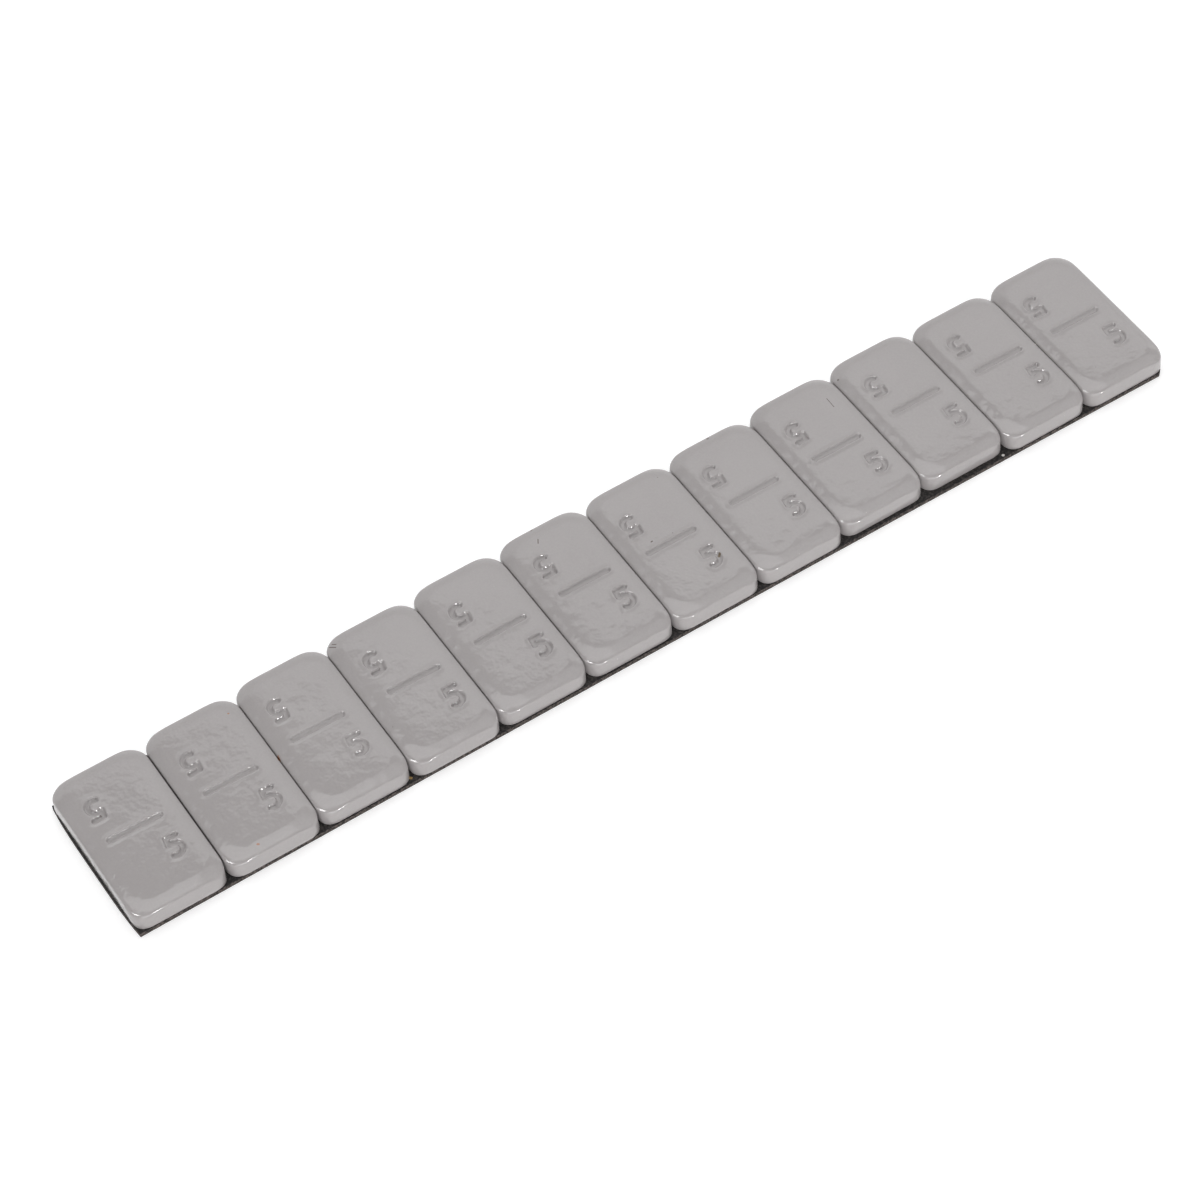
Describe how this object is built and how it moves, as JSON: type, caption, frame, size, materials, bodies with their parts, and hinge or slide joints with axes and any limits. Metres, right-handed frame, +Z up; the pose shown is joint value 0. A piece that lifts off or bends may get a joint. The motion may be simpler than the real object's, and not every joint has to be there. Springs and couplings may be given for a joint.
{
  "type": "stick-on wheel balance weight",
  "caption": "Flat row of coated steel balance weights with rounded tops, held side by side on a strip of adhesive foam tape with a release liner underneath.",
  "frame": {"origin": "middle of the strip's underside, on the face that goes against the wheel", "axes": "+X along the row of weights, +Y across it, +Z up out of the stamped faces"},
  "size_m": [0.1394, 0.0212, 0.0034],
  "materials": {
    "coated_steel": "warm light grey coat, glossy to satin, with a slight orange peel",
    "foam_tape": "matt brown-black foam with a rough cut edge",
    "liner_film": "thin dark film with a low sheen"
  },
  "bodies": {
    "root": {"release_liner": "liner_film", "foam_tape": "foam_tape", "weight_01": "coated_steel", "weight_02": "coated_steel", "weight_03": "coated_steel", "weight_04": "coated_steel", "weight_05": "coated_steel", "weight_06": "coated_steel", "weight_07": "coated_steel", "weight_08": "coated_steel", "weight_09": "coated_steel", "weight_10": "coated_steel", "weight_11": "coated_steel", "weight_12": "coated_steel"}
  },
  "joints": []
}
